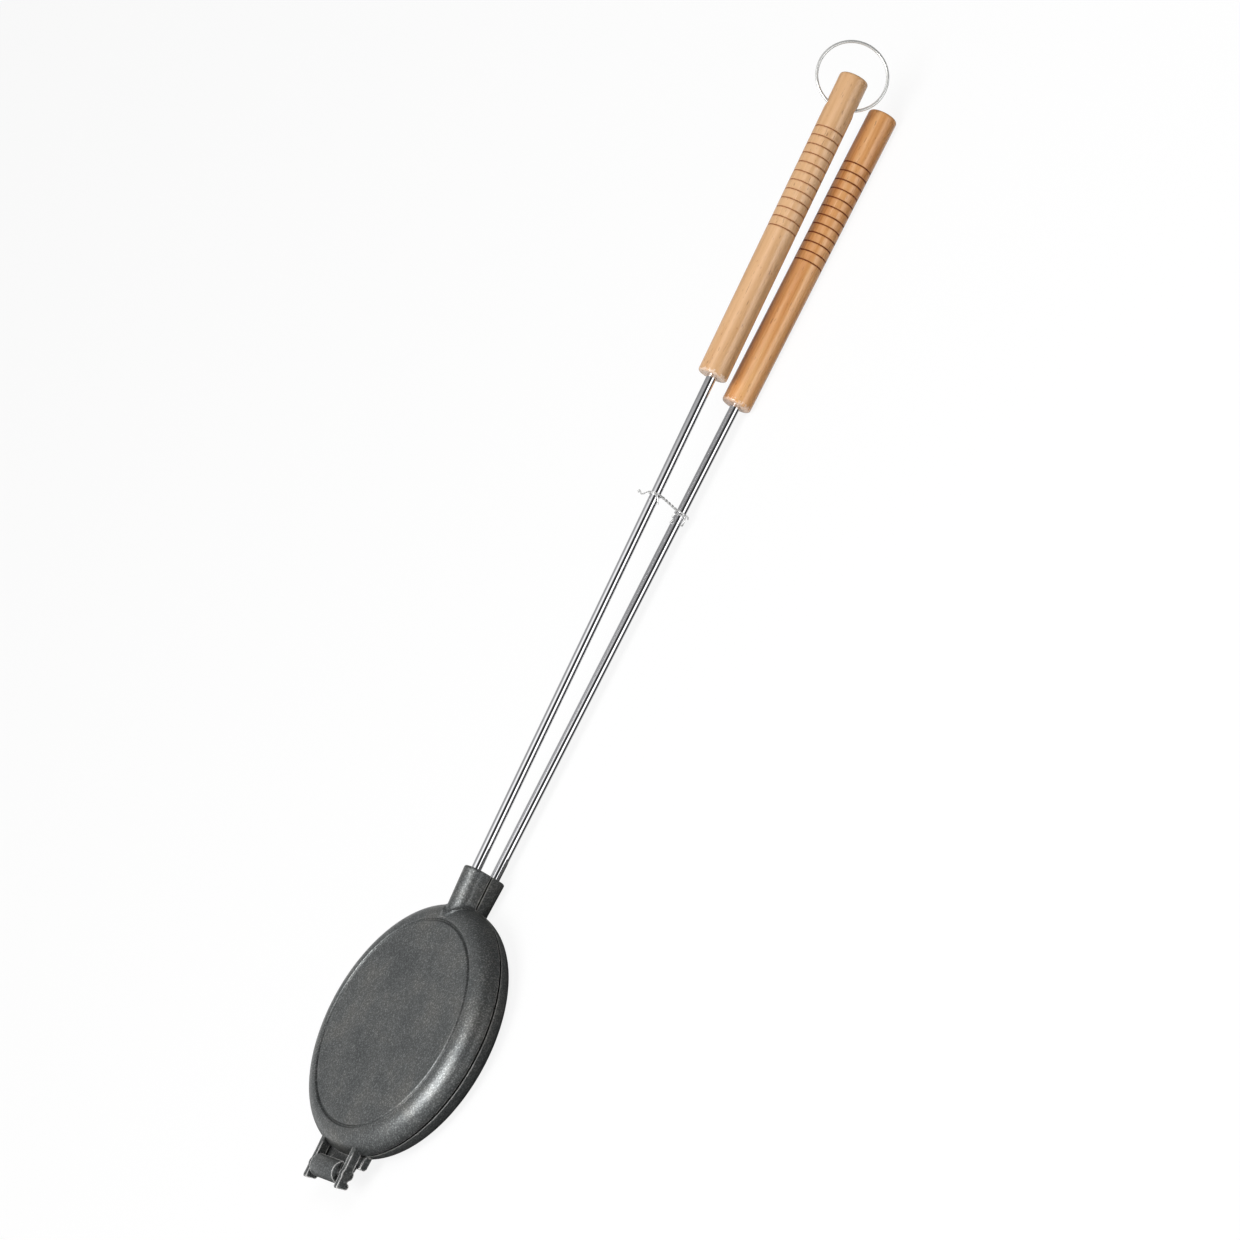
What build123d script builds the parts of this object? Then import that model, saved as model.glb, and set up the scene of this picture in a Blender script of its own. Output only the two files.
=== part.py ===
# Round campfire waffle iron: two hinged cast halves on long rods with wooden grips
from build123d import *
from math import atan, cos, degrees, hypot, radians, sin, sqrt, tan
import os

os.makedirs("parts", exist_ok=True)

# Cast halves (mm)
rim_r = 82.4
half_t = 13.2
parting_gap = 0.3
edge_break = 0.5
panel_margin = 0.3
panel_groove_w = 2.4
panel_groove_d = 1.1

# Baking side
rim_land = 7.4
cavity_d = 8.0
cavity_draft = 8.0
cavity_corner = 2.0
stud_pitch = 14.5
stud_w = 10.2
stud_h = 5.0
stud_draft = 12.0
cross_channel = 5.0
studs_per_side = 4
stud_wall_gap = 3.0

# Neck
neck_reach = 22.6
neck_w = 17.6
neck_h = 14.2
neck_root_h = 12.5
neck_root_in = 12.4
neck_fillet = 3.0
neck_end_break = 0.8

# Rods and grips
rod_d = 6.35
rod_z = 7.4
rod_splay = 0.86
socket_depth = 20.0
socket_clear = 0.05
seat_gap = 0.3
grip_d = 19.05
grip_len = 208.0
grip_bore_depth = 60.0
grip_edge = 2.2
grip_dome = 0.8
rod_break = 0.4
upper_bare_len = 338.9
lower_bare_len = 331.6
ring_grooves = 12
ring_groove_pitch = 6.35
ring_groove_w = 1.3
ring_groove_d = 0.55
ring_groove_inset = 38.9

# Hanging ring
ring_r = 22.2
ring_wire_d = 1.6
wire_sides = 8
ring_hole_d = 6.4
ring_hole_inset = 20.3
ring_hole_turn = 31.0
ring_lean = 3.0
ring_rest = 0.5

# Hinge
pin_out = 19.3
pin_h = 5.4
bar_d = 5.8
bar_flat = 4.2
bore_clear = 0.1
mouth_w = 4.6
barrel_r = 7.1
barrel_len = 26.8
hinge_side_gap = 3.5
lug_t = 3.5
lug_top = 8.9
lug_bottom = 3.2
lug_reach = 10.0
lug_corner = 0.9
foot_reach = 6.7
foot_r = 2.1
tongue_short = 6.3
tongue_top = 0.6
tongue_t = 2.8
tongue_root_t = 4.2
hook_root_out = 2.3

# Wire tie
tie_out = 253.0
tie_wire_d = 0.9
tie_clear = 0.3
tie_tail = 9.0

# Levels and places shared by the pieces
mid_z = half_t + parting_gap / 2
upper_face_z = half_t + parting_gap
shoulder_r = half_t - edge_break
crest_r = rim_r - shoulder_r
panel_r = crest_r - panel_margin - panel_groove_w
cavity_r = rim_r - rim_land
cavity_floor_r = cavity_r - cavity_d * tan(radians(cavity_draft))
field_offset = cross_channel / 2 + stud_w / 2 + (studs_per_side - 1) * stud_pitch / 2
neck_root_x = rim_r - neck_root_in
neck_end_x = rim_r + neck_reach
upper_grip_x = neck_end_x + upper_bare_len
lower_grip_x = neck_end_x + lower_bare_len
tie_x = neck_end_x + tie_out
pin_x = -(cavity_r + pin_out)
lug_tip_x = pin_x - lug_reach
foot_x = pin_x - foot_reach
tongue_tip_x = pin_x + tongue_short
hook_root_x = -(cavity_r + hook_root_out)
lug_y = barrel_len / 2 + hinge_side_gap + lug_t / 2
along = Vector(cos(radians(rod_splay)), 0, sin(radians(rod_splay)))
along_down = Vector(along.X, 0, -along.Z)
grip_r = grip_d / 2
grip_bore_r = rod_d / 2 + socket_clear


def stud_fits(place):
    """True where a whole stud stands clear of the cavity wall."""
    x = abs(place.position.X) + stud_w / 2
    y = abs(place.position.Y) + stud_w / 2
    return hypot(x, y) < cavity_floor_r - stud_wall_gap


def rod_plane(z, direction):
    """Plane across a rod's axis at the neck's end, at height z."""
    return Plane(origin=(neck_end_x, 0, z), x_dir=(0, 1, 0), z_dir=direction)


def rod_reach(grip_x):
    """Length along the axis from the neck's end to a grip's near end."""
    return (grip_x - neck_end_x) / along.X


def grip_outline():
    """Half section of a grip, drawn from its near end along its axis."""
    points = [
        (grip_len, 0),
        (grip_bore_depth, 0),
        (grip_bore_depth, grip_bore_r),
        (0, grip_bore_r),
        (0, grip_r - grip_edge),
        (grip_edge * 0.3, grip_r - grip_edge * 0.3),
        (grip_edge, grip_r),
    ]
    for i in reversed(range(ring_grooves)):
        g = grip_len - ring_groove_inset - i * ring_groove_pitch
        points += [
            (g - ring_groove_w / 2, grip_r),
            (g, grip_r - ring_groove_d),
            (g + ring_groove_w / 2, grip_r),
        ]
    shoulder_x = grip_len - grip_dome
    points += [
        (shoulder_x - grip_edge, grip_r),
        (shoulder_x - grip_edge * 0.3, grip_r - grip_edge * 0.3),
        (shoulder_x, grip_r - grip_edge),
    ]
    Polyline(*points, close=True)


# One casting, parting face on XY and its outside up
with BuildPart() as casting:
    with BuildSketch(Plane.YZ) as half_section:
        with BuildLine():
            Line((0, 0), (rim_r - edge_break, 0))
            Line((rim_r - edge_break, 0), (rim_r, edge_break))
            RadiusArc((rim_r, edge_break), (crest_r, half_t), -shoulder_r)
            Polyline(
                (crest_r, half_t),
                (panel_r + panel_groove_w, half_t),
                (panel_r + panel_groove_w / 2, half_t - panel_groove_d),
                (panel_r, half_t),
                (0, half_t),
                (0, 0),
            )
        make_face()
    revolve(axis=Axis.Z)
    # Neck, half a rounded oval that swells towards its end
    for x, h in ((neck_root_x, neck_root_h), (neck_end_x, neck_h)):
        with BuildSketch(Plane.YZ.offset(x)):
            with BuildLine():
                Line((-neck_w / 2, 0), (-neck_w / 2, h - neck_w / 2))
                ThreePointArc((-neck_w / 2, h - neck_w / 2), (0, h), (neck_w / 2, h - neck_w / 2))
                Line((neck_w / 2, h - neck_w / 2), (neck_w / 2, 0))
                Line((neck_w / 2, 0), (-neck_w / 2, 0))
            make_face()
    loft(ruled=True)
    end_edges = casting.faces().sort_by(Axis.X)[-1].edges().sort_by(Axis.Z)[1:]
    chamfer(end_edges, neck_end_break)
    root_edges = [
        e
        for e in casting.edges()
        if e.bounding_box().min.X > neck_root_x
        and e.bounding_box().max.X < neck_end_x - 4
        and e.bounding_box().size.Y < neck_w + 1
        and e.bounding_box().max.Z > edge_break + 0.1
    ]
    fillet(root_edges, neck_fillet)
    # Cooking cavity with its drafted wall
    with BuildSketch(Plane.YZ) as cavity_section:
        with BuildLine():
            Line((0, 0), (cavity_r, 0))
            Line((cavity_r, 0), (cavity_floor_r, cavity_d))
            Line((cavity_floor_r, cavity_d), (0, cavity_d))
            Line((0, cavity_d), (0, 0))
        make_face()
        floor_corner = cavity_section.vertices().sort_by_distance((cavity_floor_r, cavity_d))[0]
        chamfer(floor_corner, cavity_corner)
    revolve(axis=Axis.Z, mode=Mode.SUBTRACT)
    # Tapered studs of the waffle grid, in four fields split by the wider cross
    with BuildSketch(Plane.XY.offset(cavity_d)) as studs:
        stands = []
        for sx in (-1, 1):
            for sy in (-1, 1):
                with Locations((sx * field_offset, sy * field_offset)):
                    with GridLocations(stud_pitch, stud_pitch, studs_per_side, studs_per_side) as grid:
                        stands += [p for p in grid.locations if stud_fits(p)]
        with Locations(*stands):
            Rectangle(stud_w, stud_w)
    extrude(amount=-stud_h, taper=stud_draft)
    # Blind socket for the rod
    with Locations(rod_plane(rod_z - parting_gap / 2, along).offset(-socket_depth)):
        Cylinder(
            rod_d / 2 + socket_clear,
            socket_depth + 5,
            align=(Align.CENTER, Align.CENTER, Align.MIN),
            mode=Mode.SUBTRACT,
        )

# Lower casting, outside down, with the tongue that carries the hook of the hinge
with BuildPart() as lower_plate:
    add(casting.part.mirror(Plane.XY).moved(Location((0, 0, half_t))))
    with BuildSketch(Plane.XZ) as tongue_section:
        with BuildLine():
            Polyline(
                (hook_root_x, mid_z - tongue_top),
                (tongue_tip_x, mid_z - tongue_top),
                (tongue_tip_x, mid_z - tongue_top - tongue_t),
                (hook_root_x, mid_z - tongue_top - tongue_root_t),
                close=True,
            )
        make_face()
    extrude(amount=lug_y + lug_t / 2, both=True)
    with BuildSketch(Plane.XZ) as hook_section:
        with BuildLine():
            Polyline(
                (hook_root_x - 6, mid_z - tongue_top),
                (pin_x + barrel_r * 0.8, mid_z + pin_h - mouth_w / 2 - 0.4),
                (pin_x, mid_z + pin_h),
                (pin_x - barrel_r * 0.4, mid_z + pin_h - barrel_r * 0.9),
                (tongue_tip_x, mid_z - tongue_top - tongue_t),
                (hook_root_x - 6, mid_z - tongue_top - tongue_t),
                close=True,
            )
        make_face()
        with Locations((pin_x, mid_z + pin_h)):
            Circle(barrel_r)
            Circle(bar_d / 2 + bore_clear, mode=Mode.SUBTRACT)
        with Locations((pin_x + barrel_r, mid_z + pin_h)):
            Rectangle(2 * barrel_r, mouth_w, mode=Mode.SUBTRACT)
    extrude(amount=barrel_len / 2, both=True)

# Upper casting, outside up, with the lugs and the bar that turns in the hook
with BuildPart() as upper_plate:
    add(casting.part.moved(Location((0, 0, upper_face_z))))
    for side in (-1, 1):
        with BuildSketch(Plane.XZ.offset(side * lug_y)) as lug_section:
            with BuildLine():
                Polyline(
                    (hook_root_x, mid_z + lug_bottom),
                    (hook_root_x, mid_z + lug_top),
                    (lug_tip_x, mid_z + lug_top),
                    (foot_x - foot_r * 0.8, mid_z + lug_bottom),
                    close=True,
                )
            make_face()
            tip = lug_section.vertices().sort_by_distance((lug_tip_x, mid_z + lug_top))[0]
            fillet(tip, lug_corner)
            with Locations((foot_x, mid_z + lug_bottom)):
                Circle(foot_r)
        extrude(amount=lug_t / 2, both=True)
    with BuildSketch(Plane.XZ) as bar_section:
        with Locations((pin_x, mid_z + pin_h)):
            Circle(bar_d / 2)
            Rectangle(bar_flat, bar_d, mode=Mode.INTERSECT)
    extrude(amount=lug_y, both=True)


# Rods, each in its socket and its grip
lower_axis = rod_plane(mid_z - rod_z, along_down)
upper_axis = rod_plane(mid_z + rod_z, along)
with BuildPart() as lower_rod:
    with Locations(lower_axis.offset(-socket_depth + seat_gap)):
        Cylinder(
            rod_d / 2,
            rod_reach(lower_grip_x) + grip_bore_depth + socket_depth - 2 * seat_gap,
            align=(Align.CENTER, Align.CENTER, Align.MIN),
        )
    chamfer(lower_rod.faces().filter_by(GeomType.PLANE).edges(), rod_break)

with BuildPart() as upper_rod:
    with Locations(upper_axis.offset(-socket_depth + seat_gap)):
        Cylinder(
            rod_d / 2,
            rod_reach(upper_grip_x) + grip_bore_depth + socket_depth - 2 * seat_gap,
            align=(Align.CENTER, Align.CENTER, Align.MIN),
        )
    chamfer(upper_rod.faces().filter_by(GeomType.PLANE).edges(), rod_break)

# Turned wooden grips with their band of burnt rings
lower_grip_start = lower_axis.origin + along_down * rod_reach(lower_grip_x)
upper_grip_start = upper_axis.origin + along * rod_reach(upper_grip_x)
with BuildPart() as lower_grip:
    with BuildSketch(Plane(origin=lower_grip_start, x_dir=along_down, z_dir=(0, -1, 0))):
        with BuildLine():
            grip_outline()
        make_face()
    revolve(axis=Axis(lower_grip_start, along_down))

hole_centre = upper_grip_start + along * (grip_len - ring_hole_inset)
turn = radians(ring_hole_turn)
hole_dir = Vector(-along.Z * cos(turn), sin(turn), along.X * cos(turn))
with BuildPart() as upper_grip:
    with BuildSketch(Plane(origin=upper_grip_start, x_dir=along, z_dir=(0, -1, 0))):
        with BuildLine():
            grip_outline()
        make_face()
    revolve(axis=Axis(upper_grip_start, along))
    with Locations(Plane(origin=hole_centre, x_dir=along, z_dir=hole_dir)):
        Cylinder(ring_hole_d / 2, grip_d + 2, mode=Mode.SUBTRACT)

# Hanging ring, threaded through the cross hole
ring_sag = ring_r - sqrt(ring_r**2 - grip_r**2)
lean = radians(ring_lean)
ring_out = along * cos(lean) + hole_dir * sin(lean)
ring_centre = hole_centre + ring_out * (ring_r - ring_sag / 2 + ring_rest)
ring_plane = Plane(origin=ring_centre, x_dir=along, z_dir=hole_dir)
with BuildPart() as hang_ring:
    with BuildSketch(ring_plane):
        with Locations((ring_r, 0)):
            RegularPolygon(ring_wire_d / 2, wire_sides, rotation=180 / wire_sides)
    revolve(axis=Axis(ring_centre, along.cross(hole_dir)))

# Wire tie: a loop round the upper rod, two strands down, a hook over the lower rod, two tails
tie_h = rod_z + (tie_x - neck_end_x) * along.Z / along.X
tie_r = rod_d / 2 + tie_clear + tie_wire_d / 2
tie_up = Plane(origin=(tie_x, 0, mid_z + tie_h), x_dir=(0, 1, 0), z_dir=along)
tie_down = Plane(origin=(tie_x, 0, mid_z - tie_h), x_dir=(0, 1, 0), z_dir=along_down)
with BuildPart() as wire_tie:
    with BuildSketch(Plane(origin=tie_up.origin, x_dir=(0, 1, 0), z_dir=tie_up.y_dir)):
        with Locations((tie_r, 0)):
            RegularPolygon(tie_wire_d / 2, wire_sides)
    revolve(axis=Axis(tie_up.origin, along))
    for side in (-1, 1):
        with BuildLine() as strand:
            Line(
                (tie_x + side * tie_wire_d * 0.45, 0, mid_z + tie_h - tie_r),
                (tie_x + side * tie_wire_d * 0.45, 0, mid_z - tie_h + tie_r),
            )
        with BuildSketch(Plane(origin=strand.line @ 0, z_dir=(0, 0, -1))):
            RegularPolygon(tie_wire_d / 2, wire_sides)
        sweep()
    with BuildLine(tie_down) as hook_path:
        hook = CenterArc((0, 0), tie_r, 200, -220)
        JernArc(hook @ 1, hook % 1, tie_tail * 0.3, 80)
    with BuildSketch(Plane(origin=hook_path.line @ 0, z_dir=hook_path.line % 0)):
        RegularPolygon(tie_wire_d / 2, wire_sides)
    sweep()
    with BuildLine(tie_up) as tail_path:
        first = JernArc((0, tie_r), (-1, 0), tie_tail * 0.35, -60)
        second = JernArc(first @ 1, first % 1, tie_tail * 0.25, 110)
        third = JernArc(second @ 1, second % 1, tie_tail * 0.3, -110)
        JernArc(third @ 1, third % 1, tie_tail * 0.25, 90)
    with BuildSketch(Plane(origin=tail_path.line @ 0, z_dir=tail_path.line % 0)):
        RegularPolygon(tie_wire_d / 2, wire_sides)
    sweep()

pieces = {
    "lower_plate": lower_plate,
    "upper_plate": upper_plate,
    "lower_rod": lower_rod,
    "upper_rod": upper_rod,
    "lower_grip": lower_grip,
    "upper_grip": upper_grip,
    "hang_ring": hang_ring,
    "wire_tie": wire_tie,
}
for name, piece in pieces.items():
    piece.part.label = name
    export_step(piece.part, f"parts/{name}.step")
    print(name, len(piece.part.solids()), round(piece.part.volume), piece.part.is_valid)
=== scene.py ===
# %% [markdown]
# # A campfire waffle iron, dressed in Blender
# The iron is two round cast halves that open on a loose hook hinge. Each half has a
# stubby neck with a long steel rod in it, and each rod ends in a turned wooden grip.
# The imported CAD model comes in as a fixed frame: its bodies, its joints and its sizes
# stay as they are, and everything below is built round them in metres.

# %% Load the frame
import bpy
import bmesh
from math import acos, asin, cos, degrees, pi, radians, sin, sqrt, tan
from mathutils import Matrix, Vector


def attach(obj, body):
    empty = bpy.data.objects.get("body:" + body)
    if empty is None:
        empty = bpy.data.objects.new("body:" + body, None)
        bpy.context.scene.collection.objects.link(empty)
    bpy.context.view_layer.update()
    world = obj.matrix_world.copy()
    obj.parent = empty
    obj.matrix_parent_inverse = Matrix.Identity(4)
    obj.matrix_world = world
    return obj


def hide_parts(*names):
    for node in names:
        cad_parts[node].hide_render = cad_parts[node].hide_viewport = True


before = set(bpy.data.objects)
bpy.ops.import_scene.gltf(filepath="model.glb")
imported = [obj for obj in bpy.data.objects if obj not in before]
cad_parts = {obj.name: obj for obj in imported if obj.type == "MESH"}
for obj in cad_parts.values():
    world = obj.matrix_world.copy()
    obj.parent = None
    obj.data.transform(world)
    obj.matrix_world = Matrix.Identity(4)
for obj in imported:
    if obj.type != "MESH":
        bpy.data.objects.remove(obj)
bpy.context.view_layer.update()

# %% [markdown]
# ## Camera
# The photograph was taken from far away with a long lens, so lines that are parallel
# on the iron stay nearly parallel. The camera's place and turn were worked out from
# the circles of the head, the two rods and the ends of the grips. They are written
# here as a matrix, because the camera is rolled and no look-at helper gives that.

# %% Camera
def link(name, data):
    """Object for a camera, lamp, mesh or curve, linked to the scene."""
    made = bpy.data.objects.new(name, data)
    bpy.context.scene.collection.objects.link(made)
    return made


camera_data = bpy.data.cameras.new("photo_lens")
camera_data.lens = 151.15
camera_data.sensor_width = 36.0
camera_data.clip_end = 60.0
camera = link("photo_camera", camera_data)
camera_right = Vector((0.43565, -0.534958, -0.723899))
camera_down = Vector((-0.882177, -0.093992, -0.461443))
camera_ahead = Vector((0.178812, 0.839634, -0.512875))
camera_place = Vector((-0.285431, -2.666828, 1.636480))
turn = Matrix((camera_right, -camera_down, -camera_ahead)).transposed()
camera.matrix_world = Matrix.Translation(camera_place) @ turn.to_4x4()
bpy.context.scene.camera = camera
print("camera", [round(v, 3) for v in camera_place], "lens", camera_data.lens)

# %% [markdown]
# ## Sizes of the iron
# These are the sizes of the real pieces in millimetres, mostly as the CAD model has
# them. A few are finer here, because the photograph shows them: the softer edge, the
# step round the parting face, and where each grip and its lines end. They are turned
# into metres where a mesh is made.

# %% Sizes
mm = 0.001
rim_r = 82.4
half_t = 13.2
mid_z = 13.35
half_gap = 0.15
edge_r = 0.8
lip = 0.5
lip_depth = 5.0
shoulder_r = half_t - edge_r
crest_r = rim_r - shoulder_r
panel_r = 67.0
groove_w = 2.4
groove_d = 1.35
cavity_r = 75.0
cavity_d = 8.0
cavity_floor_r = cavity_r - cavity_d * tan(radians(8))
neck_start_x = 70.0
neck_end_x = 105.0
neck_w = 17.6
rod_r = 3.175
rod_z = 7.4
bore_r = 3.3
splay = radians(0.86)
grip_r = 9.525
grip_len = 208.0
grip_near = {"lower": 436.6, "upper": 443.9}
end_extra = 1.5
far_extra = {"lower": 0.0, "upper": 1.6}
pin_x = -94.3
pin_z = mid_z + 5.4
lug_y = 18.65
lug_half = 1.75
side_sign = {"lower": -1, "upper": 1}


def rod_axis(side):
    """Start point and direction of a rod's centre line, from the neck's end outwards."""
    sign = side_sign[side]
    start = Vector((neck_end_x, 0, mid_z + sign * rod_z))
    return start, Vector((cos(splay), 0, sign * sin(splay)))


def grip_run(side):
    """Length of a rod from the neck's end to where the CAD model's grip begins."""
    return (grip_near[side] - neck_end_x) / cos(splay)


print("head", 2 * rim_r, "mm wide, free rods", {side: round(grip_run(side), 1) for side in side_sign})

# %% [markdown]
# ## Small mesh tools
# A foundry pattern or a lathe makes most of this iron, so three tools are enough:
# a lathe that turns a half section about any line, a slab that is one outline with a
# thickness, and a loft through rings of points. All of them give closed meshes whose
# faces point outwards. Modifiers are baked with new_from_object, which leaves a plain
# mesh at the origin.

# %% Mesh tools
def clean(piece):
    """Merge doubles and make the faces point outwards."""
    work = bmesh.new()
    work.from_mesh(piece.data)
    bmesh.ops.remove_doubles(work, verts=work.verts, dist=1e-7)
    bmesh.ops.recalc_face_normals(work, faces=work.faces)
    work.to_mesh(piece.data)
    work.free()
    return piece


def new_piece(name, points, faces):
    """Clean object from points in millimetres."""
    mesh = bpy.data.meshes.new(name)
    mesh.from_pydata([tuple(c * mm for c in p) for p in points], [], faces)
    return clean(link(name, mesh))


def ring_mesh(rings):
    """Points and faces of a closed tube through rings that have the same number of points."""
    n = len(rings[0])
    points = [p for ring in rings for p in ring]
    faces = []
    for i in range(len(rings) - 1):
        for j in range(n):
            k = (j + 1) % n
            faces.append((i * n + j, i * n + k, (i + 1) * n + k, (i + 1) * n + j))
    faces += [tuple(range(n)), tuple(range(len(points) - n, len(points)))]
    return points, faces


def lathe(name, section, origin, axis, steps):
    """Turn a section of (distance along the axis, radius) pairs about the axis."""
    axis = Vector(axis).normalized()
    side = axis.orthogonal().normalized()
    other = axis.cross(side)
    origin = Vector(origin)
    points, rings = [], []
    for along, radius in section:
        centre = origin + axis * along
        if radius < 1e-6:
            rings.append([len(points)])
            points.append(centre)
            continue
        rings.append(list(range(len(points), len(points) + steps)))
        for i in range(steps):
            a = 2 * pi * i / steps
            points.append(centre + side * (radius * cos(a)) + other * (radius * sin(a)))
    faces = []
    for a, b in zip(rings, rings[1:]):
        for i in range(steps):
            j = (i + 1) % steps
            # On the axis a whole ring is one point, which the face then has once
            corners = (a[i % len(a)], a[j % len(a)], b[j % len(b)], b[i % len(b)])
            face = tuple(dict.fromkeys(corners))
            if len(face) > 2:
                faces.append(face)
    return new_piece(name, points, faces)


def slab(name, outline, y0, y1):
    """Extrude an outline of (x, z) pairs from y0 to y1."""
    rings = [[(x, y, z) for x, z in outline] for y in (y0, y1)]
    return new_piece(name, *ring_mesh(rings))


def arc(cx, cz, r, a0, a1, steps):
    """Points of an arc from angle a0 to a1, in degrees."""
    turns = [radians(a0 + (a1 - a0) * i / steps) for i in range(steps + 1)]
    return [(cx + r * cos(t), cz + r * sin(t)) for t in turns]


print("a quarter arc in 4 steps has", len(arc(0, 0, 1, 0, 90, 4)), "points")

# %% Mesh finishing tools
def bake(piece):
    """Swap the object's mesh for its evaluated one and drop the modifiers."""
    bpy.context.view_layer.update()
    result = piece.evaluated_get(bpy.context.evaluated_depsgraph_get())
    mesh = bpy.data.meshes.new_from_object(result)
    piece.modifiers.clear()
    piece.data = mesh
    return piece


def combine(piece, other, operation):
    """Boolean of two closed pieces. The second one is used up."""
    cut = piece.modifiers.new("cut", "BOOLEAN")
    cut.operation = operation
    cut.solver = "EXACT"
    cut.object = other
    bake(piece)
    bpy.data.objects.remove(other)
    return piece


def soften(piece, width, segments, angle):
    """Round the edges that are sharper than an angle, as a casting or a tool leaves them."""
    bevel = piece.modifiers.new("soften", "BEVEL")
    bevel.width = width * mm
    bevel.segments = segments
    bevel.limit_method = "ANGLE"
    bevel.angle_limit = radians(angle)
    return bake(piece)


def smooth(piece, angle):
    """Shade smooth, except over edges sharper than the angle."""
    piece.data.shade_smooth()
    piece.data.set_sharp_from_angle(angle=radians(angle))
    return piece


def dress(piece, finish):
    """Give the whole piece one finish."""
    piece.data.materials.clear()
    piece.data.materials.append(finish)


def report(piece):
    print(piece.name, len(piece.data.polygons), "faces")


# %% [markdown]
# ## Materials
# Every finish here is built from noise on Object coordinates, so it needs no picture
# and it stays put when a half swings open. A small helper adds nodes and links them,
# which keeps each recipe short enough to read.

# %% Node helpers
def material(name):
    """New node material. Returns it with its tree and its Principled shader."""
    made = bpy.data.materials.new(name)
    made.use_nodes = True
    tree = made.node_tree
    return made, tree, tree.nodes["Principled BSDF"]


def add(tree, kind, values=None, **settings):
    """Add a node, set its properties, and fill or link its inputs by name or index."""
    node = tree.nodes.new(kind)
    for key, value in settings.items():
        setattr(node, key, value)
    for key, value in (values or {}).items():
        if isinstance(value, bpy.types.NodeSocket):
            tree.links.new(value, node.inputs[key])
        else:
            node.inputs[key].default_value = value
    return node


def calc(tree, operation, *values):
    """Result of a Math node."""
    return add(tree, "ShaderNodeMath", dict(enumerate(values)), operation=operation).outputs["Value"]


def blend(tree, factor, first, second, kind="MIX"):
    """Two colours mixed by a factor."""
    values = {"Factor": factor, 6: first, 7: second}
    return add(tree, "ShaderNodeMix", values, data_type="RGBA", blend_type=kind).outputs[2]


def split(tree, vector):
    """The X, Y and Z of a vector."""
    return add(tree, "ShaderNodeSeparateXYZ", {"Vector": vector}).outputs


def ramp(tree, factor, stops):
    """Colour ramp with stops of a position and a colour, or a number for a grey."""
    node = add(tree, "ShaderNodeValToRGB", {"Fac": factor})
    bar = node.color_ramp
    while len(bar.elements) < len(stops):
        bar.elements.new(0.5)
    for element, (position, colour) in zip(bar.elements, stops):
        element.position = position
        element.color = (*colour, 1.0) if isinstance(colour, tuple) else (colour, colour, colour, 1.0)
    return node.outputs["Color"]


def remap(tree, value, start, stop, low=0.0, high=1.0):
    """Map the span from start to stop onto the range from low to high."""
    values = {"Value": value, "From Min": start, "From Max": stop, "To Min": low, "To Max": high}
    return add(tree, "ShaderNodeMapRange", values).outputs["Result"]


def object_point(tree, scale=(1, 1, 1), place=(0, 0, 0), turned=(0, 0, 0)):
    """Object coordinates, moved, turned and scaled by a Mapping node."""
    point = add(tree, "ShaderNodeTexCoord").outputs["Object"]
    values = {"Vector": point, "Location": place, "Rotation": turned, "Scale": scale}
    return add(tree, "ShaderNodeMapping", values).outputs["Vector"]


def noise(tree, point, scale, detail=4.0, rough=0.5):
    """Noise value at a point."""
    values = {"Vector": point, "Scale": scale, "Detail": detail, "Roughness": rough}
    return add(tree, "ShaderNodeTexNoise", values).outputs["Fac"]


def bump(tree, height, distance, normal=None):
    """Bump with its height in millimetres, on top of another one where normal is given."""
    values = {"Height": height, "Distance": distance * mm, "Strength": 1.0}
    if normal is not None:
        values["Normal"] = normal
    return add(tree, "ShaderNodeBump", values).outputs["Normal"]


# %% [markdown]
# ### Cast iron
# Sand-cast iron keeps the grain of its mould: fine pebbles under a millimetre, on
# slow waves several millimetres long. The iron is seasoned, so it is a dark neutral
# grey with a satin sheen. A slow noise drifts that grey, and a fast one makes single
# grains brighter or darker. Ambient occlusion is used three times. Measured inwards it
# finds the convex edges, which are painted bright as rubbed metal with a painted
# highlight on it, most of all at the hinge and along the parting line. Measured outwards
# over a short way it finds the parting line itself and the tight corners, which get a
# dark painted shade, and over a longer way the hinge's pocket, which gets a lighter
# painted shade.

# %% Cast iron
skin_tones = [(0.36, (0.165, 0.174, 0.176)), (0.5, (0.205, 0.214, 0.214)), (0.66, (0.250, 0.252, 0.243))]
grain_tones = [(0.40, 0.68), (0.56, 1), (0.69, (1.8, 1.8, 1.77))]
# Bare metal on rubbed edges, lighter towards the hinge; it also serves as a painted highlight
bare_and_highlight_tones = [(0.0, (0.46, 0.45, 0.43)), (1.0, (0.95, 0.94, 0.92))]
hinge_start_x = -79.0
hinge_full_x = -84.0
seam_half = 0.9


def occlusion(tree, distance, **settings):
    """Ambient occlusion within a distance in millimetres."""
    values = {"Distance": distance * mm}
    return add(tree, "ShaderNodeAmbientOcclusion", values, samples=6, **settings).outputs["AO"]


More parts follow.
